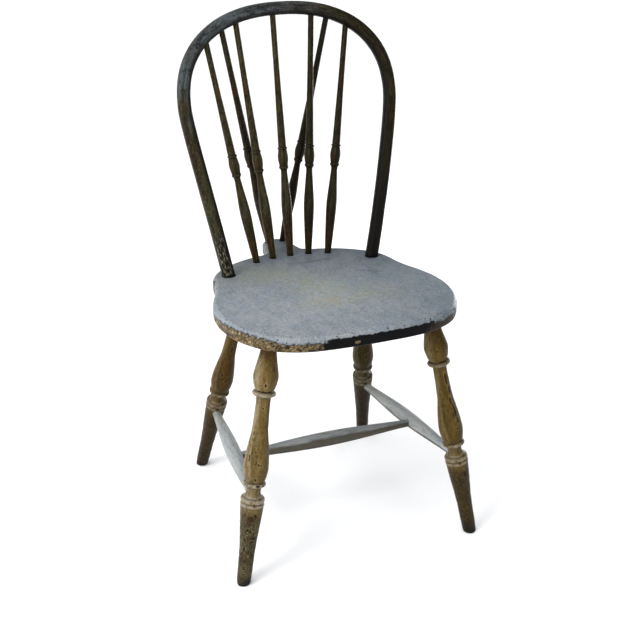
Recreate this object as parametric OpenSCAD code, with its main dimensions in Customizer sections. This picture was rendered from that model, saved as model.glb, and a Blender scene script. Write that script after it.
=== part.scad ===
// Brace-back, bow-back Windsor side chair.
// Frame: +Z up, the floor at Z = 0, +X to the right of someone who looks at the chair's front,
// +Y to the back. The origin is on the floor, under the middle of the chair's box.

/* [Overall] */
// Height of the seat's top face above the floor
seat_h = 440; // [400:1:480]
// Height of the bow's centre line above the seat, measured along the bow's own slope
bow_h = 438; // [380:1:500]
// Slack between a tenon and its hole, on the radius
fit_gap = 0.1; // [0.05:0.05:0.3]

/* [Seat] */
// Width of the seat at its widest, towards the front
seat_w = 408; // [340:1:460]
// Depth of the seat from its front edge to its back edge, where the tail block starts
seat_d = 412; // [360:1:450]
// Thickness of the plank
seat_t = 24; // [22:1:32]
// Rounding of the seat's top edge
edge_top_r = 9; // [3:1:10]
// Rounding of the seat's bottom edge
edge_low_r = 3; // [2:1:8]
// Depth of the shallow dish in the seat's top
dish_depth = 3; // [1:0.5:5]
// Radius of the dish
dish_r = 150; // [100:5:160]
// Length of the tail block behind the seat's back edge
tail_len = 76; // [66:1:90]
// Width of the tail block where it leaves the seat, and near its round end
tail_root_w = 70; // [60:1:90]
tail_w = 50; // [44:1:64]

/* [Bow] */
// Distance of the bow's feet from the seat's side edges and from its back edge, to their centres
bow_foot_inset = 29; // [26:1:34]
bow_foot_setback = 93; // [85:1:96]
// Half of the bow's width at its widest, to the centre line
bow_half_w = 188; // [165:1:215]
// Height of the bow's round top above its widest point
bow_arch_h = 147; // [120:1:190]
// Thickness of the stick from the bow's inside to its outside
bow_t = 23; // [18:0.5:28]
// Thickness of the stick from front to back
bow_d = 20; // [16:0.5:26]
// Backward slope of the bow at the seat, in degrees
bow_lean = 6; // [2:0.5:14]
// Extra backward bend of the bow at its top
bow_bend = 58; // [0:1:90]
// How far the old bow leans over to the right at its top
bow_rack = 7; // [0:0.5:10]
// Radius and depth of the bow's tenons in the seat
bow_tenon_r = 7.5; // [6:0.25:9]
bow_tenon_len = 15; // [10:1:18]

/* [Spindles] */
// Distance from the seat's back edge to the middle spindle
spindle_setback = 31; // [24:1:40]
// Spacing of the spindles on the seat
spindle_pitch_seat = 34.5; // [30:0.5:38]
// Angle between neighbouring spindles around the bow's arch, in degrees
spindle_turn = 21.8; // [18:0.2:23]
// How far the spindles' tips have all crept round the arch, to the left, in degrees
spindle_drift = 4.6; // [0:0.2:6]
// How far the outer spindles stand in front of the middle one, on the seat
spindle_arc = 13; // [0:1:20]
// Radius of a spindle's tenon and of its foot
spindle_r = 5.8; // [5:0.1:7]
// Radius of a spindle at the bow
spindle_tip_r = 5.1; // [4.5:0.1:6]
// Radius of a spindle's two rings, its bulb and its long swelling
spindle_ring_r = 9; // [7.5:0.1:10]
spindle_bulb_r = 9.5; // [8:0.1:11]
spindle_swell_r = 9.5; // [8:0.1:11]
// Heights of the lower and upper ring above the seat, along the spindle
ring_low_h = 163; // [130:1:180]
ring_high_h = 197; // [185:1:230]
// Distance between the brace spindles on the tail block, and from them to the block's end
brace_pitch_seat = 28; // [22:0.5:32]
brace_setback = 22; // [16:1:28]
// Angle of each brace spindle around the bow's arch, from its top, in degrees
brace_turn = 31.4; // [29:0.2:34]
// Depth of the spindles' holes in the seat and past the bow's inside face
spindle_hole_seat = 16; // [10:1:18]
spindle_hole_bow = 15; // [10:1:17]

/* [Legs] */
// Distance from the seat's side edge to the tops of the front legs and of the back legs
leg_front_inset = 49; // [44:1:65]
leg_back_inset = 55; // [52:1:70]
// Distance from the seat's front edge to the front legs' tops, and from its back edge to the
// back legs' tops
leg_front_setback = 83; // [75:1:100]
leg_back_setback = 109; // [106:1:125]
// How far a front leg's foot stands out from its top, to the side and to the front
leg_front_out = 72; // [40:0.5:90]
leg_front_fore = 39; // [10:1:60]
// How far a back leg's foot stands out from its top, to the side and to the back
leg_back_out = 60; // [35:1:80]
leg_back_aft = 147; // [90:1:160]
// Radii of the leg: neck under the seat, upper bulb, lower bulb, cove and foot
leg_neck_r = 12; // [11:0.1:14]
leg_bulb_r = 20.3; // [17:0.1:23]
leg_baluster_r = 20.5; // [17:0.1:23]
leg_cove_r = 12; // [11:0.1:14]
leg_foot_r = 12; // [10:0.1:16]
// Radius of the leg's rings
leg_ring_r = 19.6; // [17:0.1:23]
// Length and end radius of the leg's tapered tenon in the seat
leg_tenon_len = 18; // [12:1:19]
leg_tenon_r = 10; // [8:0.1:11]

/* [Stretchers] */
// Radius of the side stretchers' ends, and of the cross stretcher's ends
side_end_r = 7.6; // [6.5:0.1:8.5]
cross_end_r = 7; // [6:0.1:7.6]
// Radius of every stretcher's middle
stretcher_mid_r = 13.3; // [11:0.1:14]
// Distance down the leg from the seat to the side stretchers, front and back
stretcher_front_s = 268; // [256:1:272]
stretcher_back_s = 295; // [291:1:310]
// Place of the cross stretcher along the side stretchers, from front to back
cross_place = 0.42; // [0.38:0.01:0.6]
// How far short of the other piece's axis a stretcher's end stops
stretcher_short = 3; // [2:0.5:5]

/* [Hidden] */
$fn = 48;
LEFT = -1;
RIGHT = 1;
// Room past the end of a tenon in its hole, and how far a hole's cutter stands out of the wood
end_gap = 0.4;
clear_out = 10;
under_z = seat_h - seat_t;
seat_front_y = -(seat_d + tail_len) / 2;
seat_back_y = seat_front_y + seat_d;
tail_end_y = seat_back_y + tail_len;
blue_grey = [0.47, 0.52, 0.56];
ochre = [0.55, 0.47, 0.31];
dark_olive = [0.20, 0.17, 0.12];
pale_grey = [0.62, 0.65, 0.66];

// ---- Small helpers ----

// Turns the +Z axis into the direction from a to b, and starts at a. A turn about the piece's
// own axis first keeps a round piece's seam away from the level planes that cut it.
seam_turn = 40;
module along(a, b) {
    d = b - a;
    translate(a)
        rotate([0, acos(d.z / norm(d)), atan2(d.y, d.x)])
            rotate([0, 0, seam_turn])
                children();
}

// Points on a smooth curve through a list of points (Catmull-Rom), with n steps a span
function spline_at(a, b, c, d, t) =
    0.5 * (2 * b + (c - a) * t + (2 * a - 5 * b + 4 * c - d) * t * t
        + (3 * b - 3 * c + d - a) * t * t * t);

function spline(p, n) = [
    for (i = [0 : len(p) - 2])
        for (k = [0 : n - 1])
            spline_at(
                p[max(i - 1, 0)], p[i], p[i + 1], p[min(i + 2, len(p) - 1)], k / n
            ),
    p[len(p) - 1]
];

// A round bead or disc on a turned profile: stations from one side of it to the other
function bead(s, half, r, foot_r) = [
    for (a = [0 : 30 : 180])
        [s - half * cos(a), foot_r + (r - foot_r) * sin(a)]
];

// A turned stick along +Z, from a list of [distance, radius] stations
module turned(stations) {
    first = stations[0];
    last = stations[len(stations) - 1];
    rotate_extrude()
        polygon(concat(
            [[0, first[0]]],
            [for (s = stations) [s[1], s[0]]],
            [[0, last[0]]]
        ));
}

// ---- Seat ----

// Half outline of the seat, from the middle of the front edge to the tail block's end.
// Each point is a share of the half width and of the depth, measured from the front.
seat_half = [
    [0, 0], [0.35, 0.007], [0.58, 0.032], [0.785, 0.095], [0.93, 0.21], [0.99, 0.335],
    [0.985, 0.45], [0.935, 0.545], [0.875, 0.625], [0.843, 0.685], [0.828, 0.735],
    [0.80, 0.79], [0.735, 0.847], [0.627, 0.898], [0.51, 0.937], [0.37, 0.968], [0.22, 0.988]
];
tail_round = 18;
tail_half = concat(
    [[tail_root_w / 2, seat_back_y + 2]],
    [for (a = [0 : 15 : 75])
        [tail_w / 2 * cos(a), tail_end_y - tail_round * (1 - sin(a))]]
);
seat_right = concat(
    spline([for (p = seat_half) [p.x * seat_w / 2, seat_front_y + p.y * seat_d]], 4),
    tail_half
);
seat_outline = concat(
    seat_right,
    [[0, tail_end_y]],
    [for (i = [len(seat_right) - 1 : -1 : 1]) [-seat_right[i].x, seat_right[i].y]]
);

// Distance from the middle line to the seat's side edge, at a distance y from the front edge
function side_edge_at(y) =
    lookup(y / seat_d, [for (p = seat_half) [p.y, p.x]]) * seat_w / 2;

// The outline moved inwards by d along its own normals
function inset(p, d) = [
    for (i = [0 : len(p) - 1])
        let (
            a = p[(i + len(p) - 1) % len(p)],
            b = p[(i + 1) % len(p)],
            t = (b - a) / norm(b - a)
        )
        p[i] + d * [-t.y, t.x]
];

// Inset and height of each layer of the seat's rounded edge, from the bottom up
edge_layers = concat(
    [for (a = [0 : 30 : 90]) [edge_low_r * (1 - sin(a)), edge_low_r * (1 - cos(a))]],
    [for (a = [0 : 18 : 90])
        [edge_top_r * (1 - cos(a)), seat_t - edge_top_r * (1 - sin(a))]]
);

module seat_plank() {
    n = len(seat_outline);
    m = len(edge_layers);
    points = [
        for (e = edge_layers)
            for (p = inset(seat_outline, e[0]))
                [p.x, p.y, under_z + e[1]]
    ];
    sides = [
        for (j = [0 : m - 2])
            for (i = [0 : n - 1])
                [j * n + i, (j + 1) * n + i, (j + 1) * n + (i + 1) % n, j * n + (i + 1) % n]
    ];
    bottom = [for (i = [0 : n - 1]) i];
    top = [for (i = [n - 1 : -1 : 0]) (m - 1) * n + i];
    polyhedron(points, concat([bottom], sides, [top]), convexity = 6);
}

// The dish: a shallow round bowl, flat in its middle, that is cut out of the seat's top
dish_y = -55;
dish_flat_r = 20;
module dish() {
    steps = 9;
    translate([0, dish_y, seat_h])
        rotate([0, 0, seam_turn])
            rotate_extrude($fn = 96)
                polygon(concat(
                    [[0, clear_out], [0, -dish_depth]],
                    [for (i = [0 : steps])
                        [
                            dish_flat_r + (dish_r - dish_flat_r) * i / steps,
                            -dish_depth * (1 + cos(180 * i / steps)) / 2
                        ]],
                    [[dish_r, clear_out]]
                ));
}

module seat() {
    color(blue_grey)
        difference() {
            seat_plank();
            dish();
            for (side = [LEFT, RIGHT]) {
                leg_tenon(leg_front(side), fit_gap);
                leg_tenon(leg_back(side), fit_gap);
                bow_tenon(side, fit_gap);
            }
            for (i = [1 : 5])
                spindle_foot(spindle_line(i), fit_gap);
            for (side = [LEFT, RIGHT])
                spindle_foot(brace_line(side), fit_gap);
        }
}

// ---- Bow ----

bow_foot_x = side_edge_at(seat_d - bow_foot_setback) - bow_foot_inset;
bow_foot_y = seat_back_y - bow_foot_setback;
bow_centre_h = bow_h - bow_arch_h;
arch_power = 2 / 2.3;

// A point [across, up] on the flat arch at angle a from its widest point
function arch(a) = [
    bow_half_w * pow(cos(a), arch_power),
    bow_centre_h + bow_arch_h * pow(sin(a), arch_power)
];

// A point [across, up] on the flat bow's side, at share t of the way down from the arch's widest
// point to the foot: it curves in near the top, and then runs almost straight
side_bend = 0.12;
function side_drop(t) = (1 + side_bend) * t * t / (t + side_bend);
function bow_side(t) = [
    bow_half_w - (bow_half_w - bow_foot_x) * side_drop(t),
    bow_centre_h * (1 - t)
];

// A point of the flat bow put into its leaning, bent place
function lean_back(p) = [
    p[0] + bow_rack * p[1] / bow_h,
    bow_foot_y + p[1] * sin(bow_lean) + bow_bend * pow(p[1] / bow_h, 2),
    seat_h + p[1] * cos(bow_lean)
];

side_steps = 13;
arch_steps = 15;
bow_right = concat(
    [for (i = [side_steps : -1 : 1]) bow_side(pow(i / side_steps, 1.3))],
    [for (i = [0 : arch_steps - 1]) arch(90 * i / arch_steps)]
);
bow_flat = concat(
    bow_right,
    [[0, bow_h]],
    [for (i = [len(bow_right) - 1 : -1 : 0]) [-bow_right[i][0], bow_right[i][1]]]
);
bow_line = [for (p = bow_flat) lean_back(p)];

// Point of the bow's centre line on the arch, turned from its top by angle t to the right
function bow_at(t) =
    let (u = abs(sin(t)))
    lean_back([
        bow_half_w * sin(t),
        bow_centre_h + bow_arch_h * pow(1 - pow(u, 2 / arch_power), arch_power / 2)
    ]);

// Section of the stick: a rounded square, between an ellipse (power 1) and a rectangle (power 0)
section_power = 0.75;
function section(a) = [
    sign(cos(a)) * pow(abs(cos(a)), section_power) * bow_t / 2,
    sign(sin(a)) * pow(abs(sin(a)), section_power) * bow_d / 2
];

module bow_stick() {
    sides = 20;
    n = len(bow_line);
    // The first and last ring lie level, on the seat; the others lie square to the stick
    rings = [
        for (i = [0 : n - 1])
            let (
                a = bow_line[max(i - 1, 0)],
                b = bow_line[min(i + 1, n - 1)],
                t = (b - a) / norm(b - a),
                level = i == 0 || i == n - 1,
                back = [0, cos(bow_lean), -sin(bow_lean)],
                out = cross(t, back) / norm(cross(t, back)),
                deep = cross(out, t)
            )
            [for (k = [0 : sides - 1])
                let (
                    s = section(360 * k / sides),
                    p = bow_line[i] + out * s.x + deep * s.y
                )
                level ? p - t * ((p.z - seat_h) / t.z) : p]
    ];
    points = [for (r = rings) for (p = r) p];
    skin = [
        for (i = [0 : n - 2])
            for (k = [0 : sides - 1])
                [
                    i * sides + k, i * sides + (k + 1) % sides,
                    (i + 1) * sides + (k + 1) % sides, (i + 1) * sides + k
                ]
    ];
    start = [for (k = [sides - 1 : -1 : 0]) k];
    finish = [for (k = [0 : sides - 1]) (n - 1) * sides + k];
    polyhedron(points, concat([start], skin, [finish]), convexity = 8);
}

// The round tenon under the bow's foot, which starts inside the stick; slack makes it the hole
tenon_root = 3;
module bow_tenon(side, slack = 0) {
    foot = lean_back([side * bow_foot_x, 0]);
    next = lean_back([side * bow_right[1].x, bow_right[1].y]);
    down = (foot - next) / norm(foot - next);
    depth = bow_tenon_len + (slack > 0 ? end_gap : 0);
    above = slack > 0 ? clear_out : tenon_root;
    along(foot - down * above, foot + down * depth)
        cylinder(r = bow_tenon_r + slack, h = depth + above);
}

module bow() {
    color(dark_olive)
        difference() {
            union() {
                bow_stick();
                for (side = [LEFT, RIGHT])
                    bow_tenon(side);
            }
            for (i = [1 : 5])
                spindle_tip(spindle_line(i), fit_gap);
            for (side = [LEFT, RIGHT])
                spindle_tip(brace_line(side), fit_gap);
        }
}

// ---- Spindles ----

// Each line is [place on the seat's top, place on the bow's centre line]
spindle_back_y = seat_back_y - spindle_setback;
brace_y = tail_end_y - brace_setback;
function spindle_line(i) =
    let (k = i - 3)
    [
        [k * spindle_pitch_seat, spindle_back_y - spindle_arc * k * k / 4, seat_h],
        bow_at(k * spindle_turn - spindle_drift)
    ];
function brace_line(side) = [
    [side * brace_pitch_seat / 2, brace_y, seat_h],
    bow_at(side * brace_turn - spindle_drift)
];
function dir(line) = (line[1] - line[0]) / norm(line[1] - line[0]);
// How far a spindle's tip goes past the bow's centre line
tip_past = spindle_hole_bow - bow_t / 2;

// The turning of a spindle: its rings stand where they are on every spindle, and the plain
// upper part takes up the rest of the length
function spindle_stations(length) = concat(
    [[-spindle_hole_seat, spindle_r], [0, spindle_r]],
    spline([
        [8, spindle_r + 0.3], [40, spindle_r + 2], [90, spindle_swell_r],
        [128, spindle_r + 1.6], [ring_low_h - 9, spindle_r], [ring_low_h - 4, spindle_r + 0.8]
    ], 6),
    bead(ring_low_h, 2.5, spindle_ring_r - 0.4, spindle_r + 1.4),
    spline([
        [ring_low_h + 3, spindle_bulb_r - 1.8], [(ring_low_h + ring_high_h) / 2, spindle_bulb_r],
        [ring_high_h - 3.5, spindle_bulb_r - 1.6]
    ], 5),
    bead(ring_high_h, 1.8, spindle_ring_r, spindle_r + 1.2),
    spline([
        [ring_high_h + 3, spindle_r + 1.5],
        [ring_high_h + 0.25 * (length - ring_high_h), spindle_r + 0.6],
        [ring_high_h + 0.55 * (length - ring_high_h), spindle_tip_r + 0.2],
        [length - bow_t, spindle_tip_r]
    ], 4),
    [[length + tip_past, spindle_tip_r]]
);

module spindle(line) {
    color(dark_olive)
        along(line[0], line[1])
            turned(spindle_stations(norm(line[1] - line[0])));
}

// Holes for a spindle's two ends
module spindle_foot(line, slack) {
    start = line[0] - dir(line) * (spindle_hole_seat + end_gap);
    along(start, line[1])
        cylinder(r = spindle_r + slack, h = spindle_hole_seat + clear_out);
}

module spindle_tip(line, slack) {
    start = line[1] - dir(line) * bow_t;
    along(start, line[1])
        cylinder(r = spindle_tip_r + slack, h = bow_t + tip_past + end_gap);
}

// ---- Legs ----

// Each line is [place on the seat's underside, place on the floor]
leg_front_x = side_edge_at(leg_front_setback) - leg_front_inset;
leg_front_y = seat_front_y + leg_front_setback;
leg_back_x = side_edge_at(seat_d - leg_back_setback) - leg_back_inset;
leg_back_y = seat_back_y - leg_back_setback;
function leg_front(side) = [
    [side * leg_front_x, leg_front_y, under_z],
    [side * (leg_front_x + leg_front_out), leg_front_y - leg_front_fore, 0]
];
function leg_back(side) = [
    [side * leg_back_x, leg_back_y, under_z],
    [side * (leg_back_x + leg_back_out), leg_back_y + leg_back_aft, 0]
];
function leg_point(line, s) = line[0] + dir(line) * s;

// The tapered tenon, whose cone runs on into the neck; slack makes it the socket
neck_start = 10;
module leg_tenon(line, slack = 0) {
    deep = leg_tenon_len + (slack > 0 ? end_gap : 0);
    along(leg_point(line, -deep), line[1])
        cylinder(
            r1 = leg_tenon_r + slack, r2 = leg_neck_r + slack, h = deep + neck_start
        );
}

// The turning, from the seat down; every leg has the same one, and the foot takes up the rest.
// It runs on past the floor by foot_past, and is then cut off level.
foot_past = 8;
// Below shin_start the leg tapers: share of the way to the floor, and excess over the foot's radius
shin_start = 282.5;
shin = [[0.12, 6.2], [0.27, 4.5], [0.41, 2.8], [0.59, 1.3], [0.78, 0.6], [0.97, 0.1]];
function leg_stations(length) = concat(
    [[-leg_tenon_len, leg_tenon_r], [neck_start, leg_neck_r]],
    spline([
        [14, leg_neck_r + 0.1], [36, leg_neck_r + 3.8], [59, leg_bulb_r], [71, leg_bulb_r - 1],
        [81, leg_bulb_r - 3.6], [85.5, leg_bulb_r - 6]
    ], 5),
    bead(90, 3.8, leg_ring_r, leg_neck_r + 1.5),
    spline([
        [95, leg_neck_r + 0.8], [101, leg_neck_r - 0.2], [117, leg_neck_r - 0.1],
        [140, leg_neck_r + 0.7], [157, leg_neck_r + 1.8], [177, leg_neck_r + 4.8],
        [199, leg_baluster_r - 1], [215, leg_baluster_r], [226, leg_baluster_r - 1],
        [236, leg_baluster_r - 3.2], [240, leg_baluster_r - 5.2]
    ], 4),
    bead(244, 3.6, leg_ring_r - 0.5, leg_cove_r + 2),
    spline([
        [248.5, leg_cove_r + 1], [254, leg_cove_r], [260, leg_cove_r], [264, leg_cove_r + 1.6],
        [267, leg_ring_r - 3]
    ], 4),
    bead(271.5, 4, leg_ring_r + 0.5, leg_ring_r - 2.2),
    [[276.5, leg_ring_r - 2], [277.5, leg_ring_r], [280, leg_ring_r + 0.3]],
    spline(concat(
        [[shin_start, leg_ring_r - 0.3]],
        [for (p = shin)
            [shin_start + p[0] * (length - shin_start), leg_foot_r + p[1]]]
    ), 2),
    [[length + foot_past, leg_foot_r]]
);

floor_cut = 100;
module leg(line, hole) {
    color(ochre)
        difference() {
            along(line[0], line[1])
                turned(leg_stations(norm(line[1] - line[0])));
            translate([line[1].x - floor_cut / 2, line[1].y - floor_cut / 2, -floor_cut])
                cube(floor_cut);
            stretcher_hole(hole[0], hole[1], side_end_r);
        }
}

module front_leg(side) {
    s = side_stretcher(side);
    leg(leg_front(side), [s[0], s[1]]);
}

module back_leg(side) {
    s = side_stretcher(side);
    leg(leg_back(side), [s[1], s[0]]);
}

// ---- Stretchers ----

// Each line runs between the axes of the two pieces that it joins
function side_stretcher(side) = [
    leg_point(leg_front(side), stretcher_front_s),
    leg_point(leg_back(side), stretcher_back_s)
];
function side_middle(side) =
    let (s = side_stretcher(side))
    s[0] + (s[1] - s[0]) * cross_place;

// The hole for a stretcher's end: it starts near axis point a and runs out towards b, past the
// widest leg's surface
hole_run = 40;
module stretcher_hole(a, b, end_r) {
    start = a + (b - a) / norm(b - a) * (stretcher_short - end_gap);
    along(start, b)
        cylinder(r = end_r + fit_gap, h = hole_run);
}

// A stretcher from axis point a to axis point b. It keeps its end radius for plain_len from
// each axis, which is past the surface of the piece that it enters, and swells between.
swell_power = 1.4;
plain_past = 3;
module stretcher(a, b, end_r, plain_len) {
    length = norm(b - a);
    span = length - 2 * plain_len;
    steps = 22;
    color(pale_grey)
        along(a, b)
            turned(concat(
                [[stretcher_short, end_r]],
                [for (i = [0 : steps])
                    [
                        plain_len + span * i / steps,
                        end_r + (stretcher_mid_r - end_r) * pow(sin(180 * i / steps), swell_power)
                    ]],
                [[length - stretcher_short, end_r]]
            ));
}

module side_stretcher_piece(side) {
    s = side_stretcher(side);
    difference() {
        stretcher(s[0], s[1], side_end_r, leg_ring_r + plain_past);
        stretcher_hole(side_middle(side), side_middle(-side), cross_end_r);
    }
}

module stretcher_cross() {
    stretcher(
        side_middle(LEFT), side_middle(RIGHT), cross_end_r, stretcher_mid_r + plain_past
    );
}

seat();
bow();
spindle(spindle_line(1));  // spindle_1
spindle(spindle_line(2));  // spindle_2
spindle(spindle_line(3));  // spindle_3
spindle(spindle_line(4));  // spindle_4
spindle(spindle_line(5));  // spindle_5
spindle(brace_line(LEFT));  // brace_left
spindle(brace_line(RIGHT));  // brace_right
front_leg(LEFT);  // leg_front_left
front_leg(RIGHT);  // leg_front_right
back_leg(LEFT);  // leg_back_left
back_leg(RIGHT);  // leg_back_right
side_stretcher_piece(LEFT);  // stretcher_left
side_stretcher_piece(RIGHT);  // stretcher_right
stretcher_cross();
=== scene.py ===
"""The looks of an old bow-back Windsor chair: chipped, crackled and worn paint over dark wood.

Sizes are in metres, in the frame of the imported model: +Z up, the floor at Z = 0, the chair's
front towards -Y and its middle at X = 0. Each piece of the model is replaced by a finer one of
the same size. Its wear is cut into its mesh and kept as fields of its points, for the materials.
"""
import math

import bpy
import numpy as np
from mathutils import Matrix, Vector


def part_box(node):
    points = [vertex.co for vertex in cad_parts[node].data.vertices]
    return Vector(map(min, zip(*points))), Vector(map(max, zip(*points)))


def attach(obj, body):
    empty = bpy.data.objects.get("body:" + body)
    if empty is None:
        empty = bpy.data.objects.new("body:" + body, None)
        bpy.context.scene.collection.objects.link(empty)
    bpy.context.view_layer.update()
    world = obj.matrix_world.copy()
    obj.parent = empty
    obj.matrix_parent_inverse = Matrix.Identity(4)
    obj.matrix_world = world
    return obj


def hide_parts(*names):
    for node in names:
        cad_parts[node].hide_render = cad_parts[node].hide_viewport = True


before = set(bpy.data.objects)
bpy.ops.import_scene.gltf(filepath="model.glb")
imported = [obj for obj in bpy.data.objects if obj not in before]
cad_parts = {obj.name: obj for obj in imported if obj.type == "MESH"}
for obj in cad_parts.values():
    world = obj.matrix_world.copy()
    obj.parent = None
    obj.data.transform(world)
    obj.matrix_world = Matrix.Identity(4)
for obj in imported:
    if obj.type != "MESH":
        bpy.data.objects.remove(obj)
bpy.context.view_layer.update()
MM = 0.001
LEFT, RIGHT = -1, 1
FINE = 1.0


# ---- Sizes, the same as the model's ----

SEAT_LOW, SEAT_HIGH = (np.array(corner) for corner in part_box("seat"))
SEAT_TOP = SEAT_HIGH[2]
SEAT_UNDER = SEAT_LOW[2]
SEAT_FRONT = SEAT_LOW[1]
TAIL_END = SEAT_HIGH[1]
TAIL_LEN = 76 * MM
SEAT_BACK = TAIL_END - TAIL_LEN
SEAT_D = SEAT_BACK - SEAT_FRONT
SEAT_W = 408 * MM
TAIL_ROOT_W, TAIL_W, TAIL_ROUND = 70 * MM, 50 * MM, 18 * MM
EDGE_TOP_R, EDGE_LOW_R = 9 * MM, 3 * MM
DISH_Y, DISH_R, DISH_FLAT_R, DISH_DEPTH = -55 * MM, 150 * MM, 20 * MM, 3 * MM

BOW_H, BOW_HALF_W, BOW_ARCH_H = 438 * MM, 188 * MM, 147 * MM
BOW_T, BOW_D, BOW_LEAN, BOW_BEND = 23 * MM, 20 * MM, math.radians(6), 58 * MM
BOW_RACK, SIDE_BEND = 7 * MM, 0.12
BOW_FOOT_INSET, BOW_FOOT_SETBACK = 29 * MM, 93 * MM
ARCH_POWER, SECTION_POWER = 2 / 2.3, 0.75

SPINDLE_SETBACK, SPINDLE_PITCH, SPINDLE_TURN, SPINDLE_ARC = 31 * MM, 34.5 * MM, 21.8, 13 * MM
BRACE_SETBACK, BRACE_PITCH, BRACE_TURN = 22 * MM, 28 * MM, 31.4
SPINDLE_DRIFT = 4.6
# A leg's top from the seat's side edge and front or back edge, and how far out and back it leans
FRONT_LEG = np.array([49, 83, 72, -39]) * MM
BACK_LEG = np.array([55, 109, 60, 147]) * MM
STRETCHER_FRONT_S, STRETCHER_BACK_S, CROSS_PLACE = 268 * MM, 295 * MM, 0.42
SIDE_END_R, CROSS_END_R, STRETCHER_MID_R = 7.6 * MM, 7 * MM, 13.3 * MM
LEG_RING_R = 19.6 * MM
SPINDLE_BODY = 5.8  # radius of a spindle's foot, in millimetres
SHIN_TOP = 282.5  # how far down a leg its plain shin starts, in millimetres

# How far apart the points of each mesh lie, and how many rings the seat's faces have
SEAT_FRONT_STEP, SEAT_BACK_STEP, SEAT_EDGE_STEP = (v * MM / FINE for v in (1.15, 2.4, 1.05))
LEG_STEP, STICK_STEP, STRETCHER_STEP, BOW_STEP = (v * MM / FINE for v in (1.15, 1.2, 1.15, 1.7))
BOW_SIDES = int(44 * FINE)
UNDER_RINGS, TOP_RINGS = 9, int(44 * FINE)


# ---- Curves ----

def spline(points, steps):
    """A smooth curve through points (Catmull-Rom), with that many steps a span."""
    p = np.array(points, float)
    out = []
    for i in range(len(p) - 1):
        a, b, c, d = p[max(i - 1, 0)], p[i], p[i + 1], p[min(i + 2, len(p) - 1)]
        for t in np.arange(steps) / steps:
            out.append(0.5 * (2 * b + (c - a) * t + (2 * a - 5 * b + 4 * c - d) * t * t
                              + (3 * b - 3 * c + d - a) * t ** 3))
    return np.array(out + [p[-1]])


def run_along(points):
    """How far along its line each point lies."""
    return np.concatenate([[0], np.cumsum(np.linalg.norm(np.diff(points, axis=0), axis=1))])


def evenly(points, step):
    """The same line with a point about every step."""
    p = np.array(points, float)
    run = run_along(p)
    at = np.linspace(0, run[-1], max(int(run[-1] / step), 2) + 1)
    return np.stack([np.interp(at, run, p[:, i]) for i in range(p.shape[1])], axis=1)


def unit(v):
    return v / np.linalg.norm(v, axis=-1, keepdims=True)


def smooth(low, high, x):
    """0 under low, 1 over high, and a smooth rise between."""
    t = np.clip((x - low) / (high - low), 0, 1)
    return t * t * (3 - 2 * t)


# ---- Noise for wear that is cut into the meshes. Its sizes are in millimetres. ----

def lattice(cell, seed):
    """A number from 0 to 1 for each whole-number cell, the same on every run."""
    n = cell[..., 0] * 73856093 ^ cell[..., 1] * 19349663 ^ cell[..., 2] * 83492791 ^ seed * 961748927
    n = ((n ^ (n >> 13)) * 1274126177) & 0x7FFFFFFF
    return ((n ^ (n >> 16)) & 0xFFFFFF) / 0xFFFFFF


def noise(p, size, seed):
    """Smooth noise from 0 to 1 with bumps of about that size (one size, or one for each axis)."""
    q = p / (np.array(size) * MM)
    cell = np.floor(q).astype(np.int64)
    t = q - cell
    t = t * t * (3 - 2 * t)
    total = 0
    for corner in np.ndindex(2, 2, 2):
        weight = np.prod(np.where(np.array(corner) == 1, t, 1 - t), axis=-1)
        total = total + weight * lattice(cell + np.array(corner), seed)
    return total


def fractal(p, size, seed, octaves=4):
    """Noise from 0 to 1 with finer and finer detail."""
    size = np.array(size, float)
    total = 0
    for k in range(octaves):
        shift = 7.31 * k * (size * MM)
        total = total + noise(p + shift, size / 2 ** k, seed + k) / 2 ** k
    return total / (2 - 2 / 2 ** octaves)


def cracks(p, size, seed):
    """0 on the cracks between flakes of about that size and 1 well inside a flake, and each
    flake's own random number."""
    q = p / (np.array(size) * MM)
    cell = np.floor(q).astype(np.int64)
    near = np.full(len(p), 9.0)
    second = np.full(len(p), 9.0)
    own = np.zeros(len(p))
    for shift in np.ndindex(3, 3, 3):
        c = cell + np.array(shift) - 1
        jitter = np.stack([lattice(c, seed + k) for k in (1, 2, 3)], axis=-1)
        d = np.linalg.norm(c + jitter - q, axis=-1)
        nearer = d < near
        second = np.where(nearer, near, np.minimum(second, d))
        own = np.where(nearer, lattice(c, seed + 4), own)
        near = np.where(nearer, d, near)
    return np.clip((second - near) / 0.5, 0, 1), own


def hump(x, at, width):
    """A smooth hump: 1 at that x, and falling off to both sides."""
    return np.exp(-((x - at) / width) ** 2)


# ---- Meshes ----

def add_object(name, data):
    thing = bpy.data.objects.new(name, data)
    bpy.context.collection.objects.link(thing)
    return thing


def add_field(mesh, name, values):
    """Keeps a value or a vector for each point, as a point attribute."""
    kind, slot = ("FLOAT_VECTOR", "vector") if values.ndim == 2 else ("FLOAT", "value")
    layer = mesh.attributes.new(name, kind, "POINT")
    layer.data.foreach_set(slot, values.astype(np.float32).ravel())


def add_mesh(name, points, faces, fields, material):
    mesh = bpy.data.meshes.new(name)
    mesh.from_pydata(points.tolist(), [], faces)
    for key, values in fields.items():
        add_field(mesh, key, values)
    mesh.shade_smooth()
    mesh.materials.append(material)
    return add_object(name, mesh)


def tube_faces(rings, sides):
    """Quads between rings of points, closed round, and a fan to one last point at each end."""
    i, k = np.meshgrid(np.arange(rings - 1), np.arange(sides), indexing="ij")
    a = i * sides + k
    b = i * sides + (k + 1) % sides
    quads = np.stack([a, b, b + sides, a + sides], axis=-1).reshape(-1, 4).tolist()
    first, last = rings * sides, rings * sides + 1
    end = (rings - 1) * sides
    for k in range(sides):
        nxt = (k + 1) % sides
        quads.append((first, nxt, k))
        quads.append((last, end + k, end + nxt))
    return quads


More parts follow.
